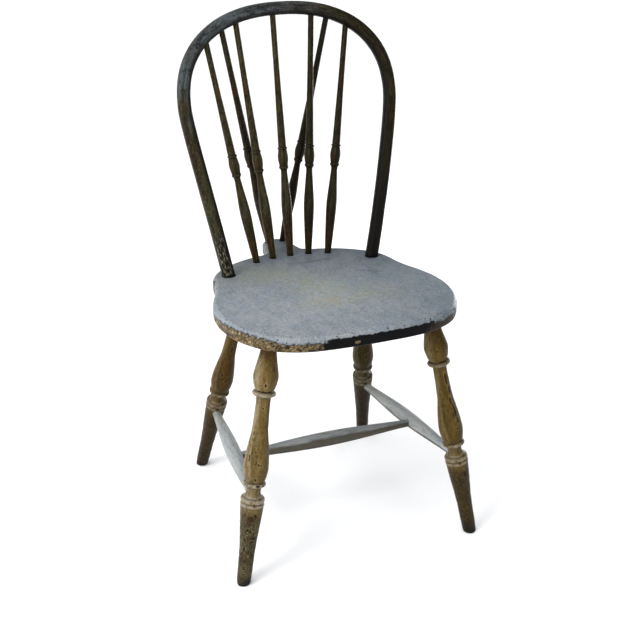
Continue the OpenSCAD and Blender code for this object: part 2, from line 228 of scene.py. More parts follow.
def with_ends(values, sides):
    """Values of a tube's points, then for its two end points the means of its end rings."""
    return np.concatenate([values, [values[:sides].mean(axis=0), values[-sides:].mean(axis=0)]])


def fit_in(piece, node):
    """The piece rides on the model's one body in the place of that node."""
    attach(piece, "root")
    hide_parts(node)


def turned_piece(name, start, end, stations, spacing, wear, material):
    """A turned stick from start to end. Stations are [distance from start, radius]. The wear
    function gives how deep each point is cut, and its fields. Turn is the angle round the stick
    in degrees: 0 faces the chair's front and 90 its right side."""
    axis = unit(end - start)
    front = unit(np.array([0, -1, 0]) - axis * -axis[1])
    side = np.cross(axis, front)
    line = evenly(stations, spacing)
    sides = int(2 * math.pi * line[:, 1].max() / spacing)
    angle = np.arange(sides) * 2 * math.pi / sides
    s = np.repeat(line[:, 0], sides)
    r = np.repeat(line[:, 1], sides)
    a = np.tile(angle, len(line))
    local = np.stack([r * np.cos(a), r * np.sin(a), s], axis=1)
    turn = (np.degrees(a) + 180) % 360 - 180
    if axis[2] < 0:
        turn = -turn
    depth, fields = wear(s, turn, local, r)
    r = r - depth
    points = (start + np.outer(s, axis) + np.outer(r * np.cos(a), front)
              + np.outer(r * np.sin(a), side))
    points = np.vstack([points, start + axis * line[0, 0], start + axis * line[-1, 0]])
    fields["local"] = local
    fields = {key: with_ends(values, sides) for key, values in fields.items()}
    return add_mesh(name, points, tube_faces(len(line), sides), fields, material)


# ---- Where things stand ----

SEAT_HALF = np.array([
    [0, 0], [0.35, 0.007], [0.58, 0.032], [0.785, 0.095], [0.93, 0.21], [0.99, 0.335],
    [0.985, 0.45], [0.935, 0.545], [0.875, 0.625], [0.843, 0.685], [0.828, 0.735],
    [0.80, 0.79], [0.735, 0.847], [0.627, 0.898], [0.51, 0.937], [0.37, 0.968], [0.22, 0.988]])


def side_edge_at(y):
    """Distance from the middle line to the seat's side edge, y behind the front edge."""
    return np.interp(y / SEAT_D, SEAT_HALF[:, 1], SEAT_HALF[:, 0]) * SEAT_W / 2


BOW_FOOT_X = side_edge_at(SEAT_D - BOW_FOOT_SETBACK) - BOW_FOOT_INSET
BOW_FOOT_Y = SEAT_BACK - BOW_FOOT_SETBACK
BOW_CENTRE_H = BOW_H - BOW_ARCH_H
BRACE_Y = TAIL_END - BRACE_SETBACK


def lean_back(across, up):
    """A point of the flat bow put into its leaning, bent place."""
    return np.stack([
        across + BOW_RACK * up / BOW_H,
        BOW_FOOT_Y + up * math.sin(BOW_LEAN) + BOW_BEND * (up / BOW_H) ** 2,
        SEAT_TOP + up * math.cos(BOW_LEAN)], axis=-1)


def bow_at(turn):
    """Point of the bow's centre line on the arch, turned from its top by that many degrees."""
    u = math.sin(math.radians(turn))
    rise = (1 - abs(u) ** (2 / ARCH_POWER)) ** (ARCH_POWER / 2)
    return lean_back(np.array(BOW_HALF_W * u), np.array(BOW_CENTRE_H + BOW_ARCH_H * rise))


def spindle_line(i):
    """Foot on the seat and tip on the bow of spindle i, from 1 at the left to 5."""
    k = i - 3
    y = SEAT_BACK - SPINDLE_SETBACK - SPINDLE_ARC * k * k / 4
    return np.array([k * SPINDLE_PITCH, y, SEAT_TOP]), bow_at(k * SPINDLE_TURN - SPINDLE_DRIFT)


def brace_line(side):
    foot = np.array([side * BRACE_PITCH / 2, BRACE_Y, SEAT_TOP])
    return foot, bow_at(side * BRACE_TURN - SPINDLE_DRIFT)


def leg_line(side, front):
    """A leg's axis where it meets the seat's underside and the floor."""
    inset, setback, out, back = FRONT_LEG if front else BACK_LEG
    y = setback if front else SEAT_D - setback
    x = side_edge_at(y) - inset
    y = SEAT_FRONT + y
    return np.array([side * x, y, SEAT_UNDER]), np.array([side * (x + out), y + back, 0])


def point_on(line, s):
    return line[0] + unit(line[1] - line[0]) * s


def side_stretcher_line(side):
    return (point_on(leg_line(side, True), STRETCHER_FRONT_S),
            point_on(leg_line(side, False), STRETCHER_BACK_S))


# ---- Profiles, in millimetres as they are turned ----

def bead(s, half, r, foot_r):
    a = np.radians(np.arange(0, 181, 15))
    return np.stack([s - half * np.cos(a), foot_r + (r - foot_r) * np.sin(a)], axis=1)


def leg_stations(length):
    """The leg's turning from just inside the seat to the floor, a distance length away."""
    neck, bulb, baluster, cove, ring, foot = 12, 20.3, 20.5, 12, 19.6, 12
    end = length / MM
    shin = [[SHIN_TOP + share * (end - SHIN_TOP), foot + more] for share, more in (
        (0.12, 6.2), (0.27, 4.5), (0.41, 2.8), (0.59, 1.3), (0.78, 0.6), (0.97, 0.1))]
    return MM * np.vstack([
        [[-3, neck - 0.45], [10, neck]],
        spline([[14, neck + 0.1], [36, neck + 3.8], [59, bulb], [71, bulb - 1], [81, bulb - 3.6],
                [85.5, bulb - 6]], 8),
        bead(90, 3.8, ring, neck + 1.5),
        spline([[95, neck + 0.8], [101, neck - 0.2], [117, neck - 0.1], [140, neck + 0.7],
                [157, neck + 1.8], [177, neck + 4.8], [199, baluster - 1], [215, baluster],
                [226, baluster - 1], [236, baluster - 3.2], [240, baluster - 5.2]], 8),
        bead(244, 3.6, ring - 0.5, cove + 2),
        spline([[248.5, cove + 1], [254, cove], [260, cove], [264, cove + 1.6],
                [267, ring - 3]], 6),
        bead(271.5, 4, ring + 0.5, ring - 2.2),
        [[276.5, ring - 2], [277.5, ring], [280, ring + 0.3]],
        spline([[SHIN_TOP, ring - 0.3]] + shin, 8),
        [[end - 3, foot], [end - 1.2, foot - 0.6], [end, foot - 1.9]]])


def spindle_stations(length):
    """A spindle's turning from just inside the seat to just inside the bow."""
    body, tip, ring, bulb, swell, low, high = SPINDLE_BODY, 5.1, 9, 9.5, 9.5, 163, 197
    end = length / MM
    rest = end - high
    return MM * np.vstack([
        [[-2, body], [0, body]],
        spline([[8, body + 0.3], [40, body + 2], [90, swell], [128, body + 1.6],
                [low - 9, body], [low - 4, body + 0.8]], 8),
        bead(low, 2.5, ring - 0.4, body + 1.4),
        spline([[low + 3, bulb - 1.8], [(low + high) / 2, bulb], [high - 3.5, bulb - 1.6]], 8),
        bead(high, 1.8, ring, body + 1.2),
        spline([[high + 3, body + 1.5], [high + 0.25 * rest, body + 0.6],
                [high + 0.55 * rest, tip + 0.2], [end - BOW_T / MM, tip]], 8),
        [[end - 4, tip]]])


def stretcher_stations(length, end_r, plain, enter):
    """A stretcher's swelling, from where it has gone a little way into each neighbour."""
    a = np.linspace(0, 1, 60)
    swell = end_r + (STRETCHER_MID_R - end_r) * np.sin(math.pi * a) ** 1.4
    middle = np.stack([plain + (length - 2 * plain) * a, swell], axis=1)
    return np.vstack([[[enter, end_r]], middle, [[length - enter, end_r]]])


# ---- Wear, cut into the meshes ----

def chip_field(s, turn, r, chips, rough):
    """How much paint is gone in listed chips, and their rims. Rough frays the outlines.
    A chip is [distance down, turn, length, width]."""
    gone = np.zeros(len(s))
    rim = np.zeros(len(s))
    for down, at, length, width in chips:
        across = np.radians((turn - at + 180) % 360 - 180) * r
        e = np.hypot((s - down * MM) / (length * MM / 2), across / (width * MM / 2))
        e = e + 0.9 * (rough - 0.5)
        gone = np.maximum(gone, 1 - smooth(0.8, 1.05, e))
        rim = np.maximum(rim, (1 - smooth(1.2, 1.9, e)) * smooth(0.9, 1.15, e))
    return gone, rim * (1 - gone)


def leg_wear(seed, chips, length):
    """Small chips all over, more on the swelling and rings, crackled paint on the foot, and a
    worn end."""
    def wear(s, turn, local, r):
        p = local + seed
        down = s / MM
        rough = fractal(p, 3, seed, 3)
        patch = fractal(p, [14, 14, 26], seed + 5, 3)
        flecks = fractal(p, [2.6, 2.6, 4.2], seed + 9, 2)
        on_baluster = hump(down, 200, 32)
        on_rings = sum(hump(down, at, 4) for at in (90, 244, 271))
        on_foot = smooth(284, 296, down)
        likely = 0.10 * on_baluster + 0.05 * on_rings + 0.10 * on_foot
        gone = smooth(0.80, 0.84, 0.62 * flecks + 0.38 * patch + likely + 0.06)
        by_hand, rim = chip_field(s, turn, r, chips, rough)
        border, own = cracks(p, [4.2, 4.2, 7.5], seed + 20)
        crackle = 0.6 * on_foot * smooth(0.42, 0.6, patch + 0.08 * own) * (1 - border)
        lost_flake = on_foot * smooth(0.80, 0.82, own + 0.5 * (patch - 0.5))
        gone = np.maximum(np.maximum(gone, by_hand), 0.5 * lost_flake)
        tip = smooth(length / MM - 32, length / MM - 5, down + 30 * (patch - 0.5))
        grime_and_contact_shade = sum(hump(down, at, w)
                     for at, w in ((85.6, 1.4), (94.2, 1.6), (239.8, 1.3), (248.2, 1.3),
                                   (267.0, 1.2), (276.2, 1.0), (283.2, 0.9)))
        dent = 0.25 * MM * smooth(0.45, 0.8, fractal(p, 9, seed + 31, 2))
        depth = dent + MM * (0.42 * gone + 0.3 * crackle * (1 - gone) + 0.5 * tip * rough)
        bite = smooth(length / MM - 9, length / MM, down) * fractal(p, 7, seed + 41, 2)
        depth = depth + 1.6 * MM * bite ** 2
        in_cove = smooth(240, 244, down) * (1 - smooth(262, 266, down))
        low_rings = smooth(262, 267, down) * (1 - smooth(280, 285, down))
        return depth, {
            "gone": gone, "rim": rim * (1 - on_foot), "crack": crackle,
            "grime_and_contact_shade": np.clip(grime_and_contact_shade, 0, 1), "tip": np.maximum(tip, bite), "down": down / 100,
            "cream": np.clip(1.4 * on_rings + 0.2 * in_cove + low_rings, 0, 1),
            # turn is 1 on the side that faces left and -1 on the side that faces right; the paint
            # lays a painted highlight and painted shade by it
            "turn": np.cos(np.radians(turn + 95))}
    return wear


def stick_wear(seed, amount):
    """Small chips along a spindle, more of them as amount grows, dirt in its grooves, and painted
    contact shade at its foot, where it meets the seat.
    """
    def wear(s, turn, local, r):
        p = local + seed
        down = s / MM
        patch = fractal(p, [9, 9, 40], seed, 3)
        flecks = fractal(p, [1.8, 1.8, 5], seed + 7, 2)
        gone = smooth(0.66, 0.72, 0.5 * patch + 0.5 * flecks + amount)
        foot = 1 - smooth(1, 7, down)
        grime_and_contact_shade = sum(hump(down, at, 1.2) for at in (160, 166.2, 194.4, 199.6))
        depth = MM * (0.22 * gone + 0.12 * fractal(p, 6, seed + 15, 2))
        # Near the seat the spindle's foot is darkened as well: painted contact shade
        return depth, {"gone": gone, "grime_and_contact_shade": np.clip(grime_and_contact_shade + 0.8 * foot, 0, 1)}
    return wear


def stretcher_wear(seed):
    """Small chips all over a stretcher, and shallow dents."""
    def wear(s, turn, local, r):
        p = local + seed
        patch = fractal(p, [10, 10, 45], seed, 4)
        flecks = fractal(p, [1.8, 1.8, 4.5], seed + 7, 2)
        gone = smooth(0.70, 0.76, 0.45 * patch + 0.5 * flecks + 0.05)
        depth = MM * (0.2 * gone + 0.15 * fractal(p, 8, seed + 15, 2))
        return depth, {"gone": gone}
    return wear


# ---- Seat ----

def seat_outline():
    """The seat's outline as evenly spaced points, closer together round the front and sides."""
    half = spline(np.stack([SEAT_HALF[:, 0] * SEAT_W / 2, SEAT_FRONT + SEAT_HALF[:, 1] * SEAT_D],
                           axis=1), 12)
    a = np.radians(np.arange(0, 86, 5))
    tail = np.stack([TAIL_W / 2 * np.cos(a), TAIL_END - TAIL_ROUND * (1 - np.sin(a))], axis=1)
    right = np.vstack([half, [[TAIL_ROOT_W / 2, SEAT_BACK + 2 * MM]], tail])
    fine_end = np.searchsorted(right[:, 1], 60 * MM)
    fine = evenly(right[:fine_end + 1], SEAT_FRONT_STEP)
    coarse = evenly(right[fine_end:], SEAT_BACK_STEP)
    right = np.vstack([fine, coarse[1:], [[0, TAIL_END]]])
    return np.vstack([right, (right * [-1, 1])[-2:0:-1]])


def outward(outline):
    """The outline's outward normals."""
    along = unit(np.roll(outline, -1, axis=0) - np.roll(outline, 1, axis=0))
    return np.stack([along[:, 1], -along[:, 0]], axis=1)


def dish_depth(x, y):
    r = np.hypot(x, y - DISH_Y)
    share = np.clip((r - DISH_FLAT_R) / (DISH_R - DISH_FLAT_R), 0, 1)
    return DISH_DEPTH * (1 + np.cos(math.pi * share)) / 2


def seat_section():
    """Inset and height of each ring of the seat's edge, from the bottom face to the top face."""
    low = [[EDGE_LOW_R * (1 - math.sin(a)), EDGE_LOW_R * (1 - math.cos(a))]
           for a in np.radians(np.arange(0, 91, 18))]
    thick = SEAT_TOP - SEAT_UNDER
    high = [[EDGE_TOP_R * (1 - math.cos(a)), thick - EDGE_TOP_R * (1 - math.sin(a))]
            for a in np.radians(np.arange(0, 91, 6))]
    return evenly(low + high, SEAT_EDGE_STEP)


def build_seat(material):
    """The plank, from the middle of its underside, round its edge and in to the middle of its top."""
    outline = seat_outline()
    normal = outward(outline)
    n = len(outline)
    middle = np.array([0, -20 * MM])
    section = seat_section()
    first, last = (outline - normal * inset for inset in section[[0, -1], 0])
    rings = [middle + (first - middle) * share for share in np.linspace(0.04, 0.96, UNDER_RINGS)]
    rings += [outline - normal * inset for inset in section[:, 0]]
    rings += [middle + (last - middle) * share for share in np.linspace(1, 0.02, TOP_RINGS)[1:]]
    heights = np.concatenate([np.full(UNDER_RINGS, SEAT_UNDER), SEAT_UNDER + section[:, 1],
                              np.full(TOP_RINGS - 1, SEAT_TOP)])
    xy = np.concatenate(rings)
    z = np.repeat(heights, n)
    out = np.tile(normal, (len(rings), 1))
    ring = np.repeat(np.arange(len(rings)), n)
    up = (ring >= UNDER_RINGS + len(section) - 1).astype(float)
    on_edge = 1 - np.maximum(up, ring < UNDER_RINGS)
    p = np.column_stack([xy, z])
    z = z - up * dish_depth(xy[:, 0], xy[:, 1])
    fields = seat_wear(p, on_edge)
    xy = xy - out * (fields.pop("depth") * on_edge)[:, None]
    z = z - fields.pop("sink") * up
    points = np.vstack([np.column_stack([xy, z]), [*middle, SEAT_UNDER],
                        [*middle, z[-n:].mean()]])
    fields = {key: with_ends(values, n) for key, values in fields.items()}
    return add_mesh("seat_plank", points, tube_faces(len(rings), n), fields, material)


# Where the bare stretch of the front edge starts and ends, and the middle of the dark oval
BARE_FROM, BARE_TO = -79 * MM, 102 * MM
LOBE_SPOT = np.array([-168, 60, 429.5]) * MM


def seat_wear(p, on_edge):
    """Fields of the seat. On its edge, gone is bare wood, edge is the tan paint under the blue,
    crack is that paint's cracks, line is where the blue ends, bare is the black stretch in front,
    and spot is the dark oval on the left lobe. Depth is how far the edge is cut in, and sink is
    how far the top is lowered."""
    x, y, z = p.T
    height = (z - SEAT_UNDER) / MM
    rough = fractal(p, 5, 3, 4)
    front = 1 - smooth(-215 * MM, -190 * MM, y)
    front_half = 1 - smooth(-150 * MM, -60 * MM, y)
    border_h = 13.5 + 6.0 * (rough - 0.5) + 5.0 * smooth(-130 * MM, -165 * MM, x) * front_half
    edge = on_edge * (1 - smooth(border_h - 0.8, border_h + 0.8, height))
    frayed = x + 34 * MM * (rough - 0.5) - 0.5 * MM * (height - 8)
    bare = (smooth(BARE_FROM - 2 * MM, BARE_FROM + 2 * MM, frayed)
            * (1 - smooth(BARE_TO - 2 * MM, BARE_TO + 2 * MM, frayed)) * front)
    bare = bare * (1 - smooth(17.0, 18.4, height + 5 * (rough - 0.5))) * on_edge
    chip = np.hypot((x + 24 * MM) / (6.4 * MM), (height - 8.5) / 3.1) + 0.8 * (rough - 0.5)
    left_chip = (1 - smooth(0.8, 1.0, chip)) * front * on_edge
    bare = bare * (1 - 0.75 * left_chip)
    flakes, own = cracks(p, [7.5, 7.5, 4.6], 60)
    fine_flakes, fine_own = cracks(p, [2.4, 2.4, 2.0], 70)
    patch = fractal(p, 22, 80, 3)
    fine_crack = 0.6 * (1 - fine_flakes) * smooth(0.48, 0.62, patch)
    crack = edge * (1 - left_chip) * np.maximum(1 - flakes, fine_crack)
    lost = edge * smooth(0.70, 0.74, 0.6 * own + 0.4 * fine_own + 0.5 * (patch - 0.5))
    gone = np.maximum(bare, lost * (1 - left_chip))
    nicks = on_edge * (1 - edge) * smooth(0.70, 0.74, fractal(p, 4, 90, 3))
    gone = np.maximum(gone, nicks)
    on_left = on_edge * (x < 0)
    away = (np.hypot((y - LOBE_SPOT[1]) / (15 * MM), (z - LOBE_SPOT[2]) / (10 * MM))
            + 0.5 * (rough - 0.5))
    spot = (1 - smooth(0.75, 0.95, away)) * on_left
    spot_rim = smooth(0.8, 0.95, away) * (1 - smooth(1.0, 1.15, away)) * on_left
    wavy = fractal(p, [60, 140, 60], 95, 2)
    grain = noise(p, [2.4, 90, 9], 97)
    line = on_edge * hump(height, border_h + 0.6, 1.5) * (1 - left_chip)
    depth = MM * (0.5 * gone + 0.35 * crack * (1 - gone) + 1.2 * spot + 0.25 * wavy)
    sink = 0.5 * MM * wavy + 0.25 * MM * smooth(0.6, 1, grain)
    return {"depth": depth, "sink": sink, "gone": gone, "edge": edge, "crack": crack,
            "line": line, "bare": bare, "spot": spot, "spot_rim": spot_rim}


# ---- Bow ----

def bow_line():
    """The bow's centre line, from its right foot over the top to its left foot."""
    t = np.linspace(1, 0, 90)
    drop = (1 + SIDE_BEND) * t * t / (t + SIDE_BEND)
    straight = np.stack([BOW_HALF_W - (BOW_HALF_W - BOW_FOOT_X) * drop, BOW_CENTRE_H * (1 - t)],
                        axis=1)
    a = np.linspace(0, math.pi / 2, 120)[1:]
    c, s = np.clip(np.cos(a), 0, 1), np.sin(a)
    arch = np.stack([BOW_HALF_W * c ** ARCH_POWER,
                     BOW_CENTRE_H + BOW_ARCH_H * s ** ARCH_POWER], axis=1)
    right = np.vstack([straight, arch])
    flat = np.vstack([right, (right * [-1, 1])[-2::-1]])
    return lean_back(flat[:, 0], flat[:, 1])


BOW_SINK = 1.5 * MM  # how far the bow's feet go into the seat


def build_bow(material):
    line = evenly(bow_line(), BOW_STEP)
    n = len(line)
    t = unit(np.vstack([line[1] - line[0], line[2:] - line[:-2], line[-1] - line[-2]]))
    lean = np.array([0, math.cos(BOW_LEAN), -math.sin(BOW_LEAN)])
    out = unit(np.cross(lean, t))
    back = np.cross(t, out)
    a = np.arange(BOW_SIDES) * 2 * math.pi / BOW_SIDES
    across, deep = (np.tile(np.sign(v) * np.abs(v) ** SECTION_POWER * size / 2, n)
                    for v, size in ((np.cos(a), BOW_T), (np.sin(a), BOW_D)))
    local = np.stack([across, deep, np.repeat(run_along(line), BOW_SIDES)], axis=1)
    centre = np.repeat(line, BOW_SIDES, axis=0)
    out, back = np.repeat(out, BOW_SIDES, axis=0), np.repeat(back, BOW_SIDES, axis=0)
    cut, fields = bow_wear(local, centre)
    keep = 1 - cut / np.maximum(np.hypot(across, deep), 1 * MM)
    points = centre + out * (across * keep)[:, None] + back * (deep * keep)[:, None]
    for ring, along in ((points[:BOW_SIDES], t[0]), (points[-BOW_SIDES:], t[-1])):
        ring -= np.outer((ring[:, 2] - SEAT_TOP + BOW_SINK) / along[2], along)
    points = np.vstack([points, [line[0], line[-1]]])
    points[-2:, 2] -= BOW_SINK
    fields["local"] = local
    fields = {key: np.concatenate([values, values[[0, -1]]]) for key, values in fields.items()}
    return add_mesh("bow_stick", points, tube_faces(n, BOW_SIDES), fields, material)


def bow_wear(local, centre):
    """Worn streaks and fine cracks, a few more of them near the feet, and painted contact shade
    round the feet, where they meet the seat.
    """
    p = local + 0.4
    patch = fractal(p, [12, 12, 60], 110, 4)
    flecks = fractal(p, [2.2, 2.2, 6], 120, 3)
    low = 1 - smooth(SEAT_TOP + 20 * MM, SEAT_TOP + 90 * MM, centre[:, 2])
    left = centre[:, 0] < 0
    gone = smooth(0.64, 0.70, 0.5 * patch + 0.5 * flecks + 0.02 * low * left)
    crack = (1 - cracks(p, [3.5, 3.5, 8], 130)[0]) * smooth(0.5, 0.65, patch - 0.3 * low)
    depth = MM * (0.3 * gone + 0.2 * crack + 0.3 * fractal(p, [9, 9, 30], 140, 2))
    # The field that darkens the bow near the seat is painted contact shade
    foot = 1 - smooth(1 * MM, 7 * MM, centre[:, 2] - SEAT_TOP)
    height = (centre[:, 2] - SEAT_TOP) / BOW_H
    return depth, {"gone": gone, "crack": crack, "grime_and_contact_shade": foot,
                   "inner": smooth(0.15, 0.75, -local[:, 0] / (BOW_T / 2)), "height": height}


# ---- Materials ----

def linear(colour):
    """A colour given as 0 to 255 for each channel, in the linear form that shaders take. A socket
    stays as it is."""
    if isinstance(colour, bpy.types.NodeSocket):
        return colour
    share = [c / 255 for c in colour]
    return [c / 12.92 if c <= 0.04045 else ((c + 0.055) / 1.055) ** 2.4 for c in share] + [1]


class Graph:
    """A tree of shader nodes that is built up by calls."""

    def __init__(self, tree):
        self.nodes = tree.nodes
        self.links = tree.links

    def join(self, value, socket):
        """Gives a socket its value: another socket, the name of a mesh's field, or a constant."""
        if isinstance(value, str):
            value = self.add("Attribute", {}, attribute_name=value)["Fac"]
        if isinstance(value, bpy.types.NodeSocket):
            self.links.new(value, socket)
        else:
            socket.default_value = value

    def add(self, kind, inputs, **settings):
        """The outputs of a new node with those inputs and settings."""
        node = self.nodes.new("ShaderNode" + kind)
        for key, value in settings.items():
            setattr(node, key, value)
        for key, value in inputs.items():
            self.join(value, node.inputs[key])
        return node.outputs

    def step(self, value, low, high, to=1.0, start=0.0):
        """Start at low and to at high, with a smooth change between. High may lie under low."""
        return self.add("MapRange", {"Value": value, "From Min": low, "From Max": high,
                                     "To Min": start, "To Max": to},
                        interpolation_type="SMOOTHSTEP")["Result"]


class Finish(Graph):
    """A material whose colour is laid on coat by coat, from fields of the mesh and noise.
    Where a point is comes from a vector field, or from the object's own coordinates."""

    def __init__(self, name, place_field=None):
        self.material = bpy.data.materials.new(name)
        self.material.use_nodes = True
        super().__init__(self.material.node_tree)
        self.shader = self.nodes["Principled BSDF"]
        self.place_field = place_field
        self.noises = 0
        self.colour = None

    def on_object(self):
        return self.add("TexCoord", {})["Object"]

    def noise(self, scale, detail=4, rough=0.55, warp=0.0):
        """Noise with that many bumps to a metre along each axis. Where it lies depends on how many
        calls came before, so the calls of a material keep their order."""
        self.noises += 1
        point = self.on_object()
        if self.place_field:
            point = self.add("Attribute", {}, attribute_name=self.place_field)["Vector"]
        place = self.add("Mapping", {"Vector": point, "Scale": scale,
                                     "Location": [v * self.noises for v in (3.7, 1.9, 5.3)]})
        return self.add("TexNoise", {"Vector": place["Vector"], "Scale": 1, "Detail": detail,
                                     "Roughness": rough, "Distortion": warp})["Fac"]

    def maths(self, kind, a, b):
        return self.add("Math", {0: a, 1: b}, operation=kind)[0]

    def times(self, a, b):
        return self.maths("MULTIPLY", a, b)

    def plus(self, a, b):
        return self.maths("ADD", a, b)

    def blend(self, share, a, b, kind="MIX"):
        """Colour a, turned into b by share."""
        return self.add("Mix", {0: share, 6: linear(a), 7: linear(b)}, data_type="RGBA",
                        blend_type=kind)[2]

    def two_tone(self, value, low, high, a, b):
        """Colour a where value is under low, and b where it is over high."""
        return self.blend(self.step(value, low, high), a, b)

    def cover(self, share, tone, most=None):
        """Turns the colour so far into tone by share, or by most times share."""
        share = share if most is None else self.times(share, most)
        self.colour = self.blend(share, self.colour, tone)

    def spots(self, value, low, high, most, tone, within=None):
        """Covers with tone where value has passed from low to high, by the share most, all over
        or in a part."""
        self.cover(self.step(value, low, high, most), tone, within)

    def darken(self, share, tone):
        """Multiplies the colour so far by tone, by share."""
        self.colour = self.blend(share, self.colour, tone, "MULTIPLY")

    def oval(self, x, y, turn, half_length, half_width, soft=0.5):
        """1 in an oval patch of the seat's top and 0 outside it. It is turned from +X."""
        place = self.add("Mapping", {"Vector": self.on_object(), "Location": (x, y, SEAT_TOP),
                                     "Rotation": (0, 0, math.radians(turn)),
                                     "Scale": (half_length, half_width, 1)}, vector_type="TEXTURE")
        far = self.add("VectorMath", {0: place["Vector"]}, operation="LENGTH")["Value"]
        return self.step(far, 1 + soft, 1 - soft)

    def near(self, middle, start, end):
        """1 within end metres of the point middle, and 0 beyond start metres."""
        far = self.add("VectorMath", {0: self.on_object(), 1: middle}, operation="DISTANCE")
        return self.step(far["Value"], start, end)

    def ramp(self, axis, low, high):
        """0 to 1 from low to high along one of the object's axes, in metres."""
        return self.step(self.add("SeparateXYZ", {0: self.on_object()})[axis], low, high)

    def finish(self, rough, depth, fine, coarse):
        """Sets the shader: the colour so far, roughness, and bumps that are depth metres deep.
        Fine and coarse are the noises of the bumps, each as a value and its share."""
        height = self.plus(self.times(*fine), self.times(*coarse))
        normal = self.add("Bump", {"Strength": 1, "Distance": depth, "Height": height})["Normal"]
        for key, value in (("Base Color", self.colour), ("Roughness", rough),
                           ("Specular IOR Level", 0.08), ("Normal", normal)):
            self.join(value, self.shader.inputs[key])
        return self.material


def leg_paint(name, shade, flecks):
    """Ochre-cream paint with brown streaks, olive shades, chips to dark wood and a dark foot.
    Shade is a colour that the whole leg is multiplied by, partly the coat's own tone and partly
    painted shade, nearly white for the lightest leg, and flecks is how strong the pale flecks on
    the foot are. The side facing left has a painted highlight, and the side facing right and the
    neck under the seat have painted shade."""
    m = Finish(name, "local")
    streaks = m.noise((190, 190, 20))
    broad = m.noise((60, 60, 22))
    green = m.noise((75, 75, 30), 3)
    specks = m.noise((900, 900, 600), 3, 0.6)
    fine = m.noise((1500, 1500, 500), 4, 0.7)
    mottle = m.noise((170, 170, 90), 5, 0.75)
    grit = m.noise((430, 430, 330), 3, 0.65)
    m.colour = m.two_tone(broad, 0.35, 0.65, (118, 100, 60), (96, 78, 34))
    m.spots(streaks, 0.50, 0.68, 0.5, (74, 50, 24))
    m.spots(green, 0.52, 0.68, 0.55, (78, 71, 35))
    # Paler on the side facing left: partly worn paint and partly a painted highlight from the light
    # at the left
    pale = m.times(m.step("turn", 0.35, 0.95), m.step(streaks, 0.62, 0.38))
    m.cover(pale, (152, 141, 116), 0.75)
    # Darker red-brown at the neck, just under the seat: partly the coat's own colour and partly
    # painted shade from the seat
    neck = m.step(m.plus("down", m.times(m.plus(broad, -0.5), 0.5)), 0.55, 0.12)
    m.cover(neck, (74, 45, 8), 0.95)
    m.spots(mottle, 0.54, 0.66, 0.55, (66, 50, 26))
    m.spots(mottle, 0.42, 0.32, 0.4, (140, 122, 84))
    # Darker on the side facing right: painted shade
    away = m.step(m.times("turn", -1), 0.1, 0.9)
    m.cover(away, (58, 46, 16), 0.5)
    foot = m.step(m.plus("down", m.times(broad, 0.5)), 2.98, 3.36)
    m.cover(foot, m.two_tone(green, 0.4, 0.6, (49, 39, 18), (58, 52, 29)), 0.88)
    m.spots(mottle, 0.54, 0.66, 0.8, (30, 24, 14), foot)
    m.spots(specks, 0.54, 0.62, flecks, (128, 126, 96), foot)
    m.spots(specks, 0.64, 0.70, 0.7, (150, 138, 108))
    m.spots(specks, 0.37, 0.31, 0.8, (40, 28, 14))
    m.spots(grit, 0.58, 0.66, 0.6, (52, 39, 20))
    m.spots(grit, 0.40, 0.32, 0.4, (146, 134, 104))
    m.cover("rim", (146, 131, 98), 0.7)
    # The whole leg is multiplied by its shade: partly the coat's own tone and partly painted shade
    m.darken(1.0, shade)
    cream = m.blend(0.65, (149, 141, 126), shade, "MULTIPLY")
    m.spots(mottle, 0.66, 0.44, 0.85, cream, "cream")
    m.spots(fine, 0.30, 0.55, 0.85, (44, 31, 19), "grime_and_contact_shade")
    m.cover("crack", (32, 24, 14), 0.75)
    m.cover("gone", m.two_tone(streaks, 0.42, 0.58, (26, 18, 11), (50, 32, 17)))
    m.cover("tip", (18, 16, 13), 0.9)
    return m.finish(m.step(fine, 0.2, 0.8, 0.72), 0.0003, (fine, 0.6), (streaks, 0.6))


def back_wood(name, warm, shade):
    """Dark olive-brown wood with green-grey and rust-brown leavings of old paint. Warm is how
    much of it is rust-brown, and shade is a colour that the whole stick is multiplied by. The
    sticks further right are painted darker: painted shade."""
    m = Finish(name, "local")
    streaks = m.noise((420, 420, 34), 5, 0.6)
    rust = m.noise((75, 75, 26))
    green = m.noise((90, 90, 24))
    fine = m.noise((1600, 1600, 420), 4, 0.7)
    specks = m.noise((1000, 1000, 400), 3, 0.6)
    mottle = m.noise((200, 200, 80), 5, 0.75)
    grit = m.noise((430, 430, 240), 3, 0.65)
    m.colour = m.two_tone(streaks, 0.38, 0.62, (30, 24, 10), (51, 43, 20))
    m.spots(green, 0.50, 0.62, 0.6, (62, 62, 42))
    m.spots(rust, 0.56, 0.68, warm, (66, 38, 18))
    m.spots(mottle, 0.51, 0.60, 0.8, (15, 12, 8))
    m.spots(mottle, 0.43, 0.33, 0.5, (78, 68, 36))
    m.spots(specks, 0.64, 0.70, 0.7, (106, 96, 62))
    m.spots(grit, 0.57, 0.65, 0.7, (12, 9, 6))
    m.spots(grit, 0.40, 0.32, 0.45, (96, 86, 54))
    # Dark in the grooves, which is dirt, and at the foot on the seat, which is painted contact shade
    m.cover("grime_and_contact_shade", (20, 16, 11), 0.85)
    m.cover("gone", (26, 19, 12))
    m.darken(1.0, shade)
    # Darker towards the right: painted shade
    m.darken(m.ramp("X", -0.03, 0.04), (180, 175, 160))
    return m.finish(m.step(fine, 0.1, 0.9, 0.78), 0.00025, (fine, 0.6), (streaks, 0.7))


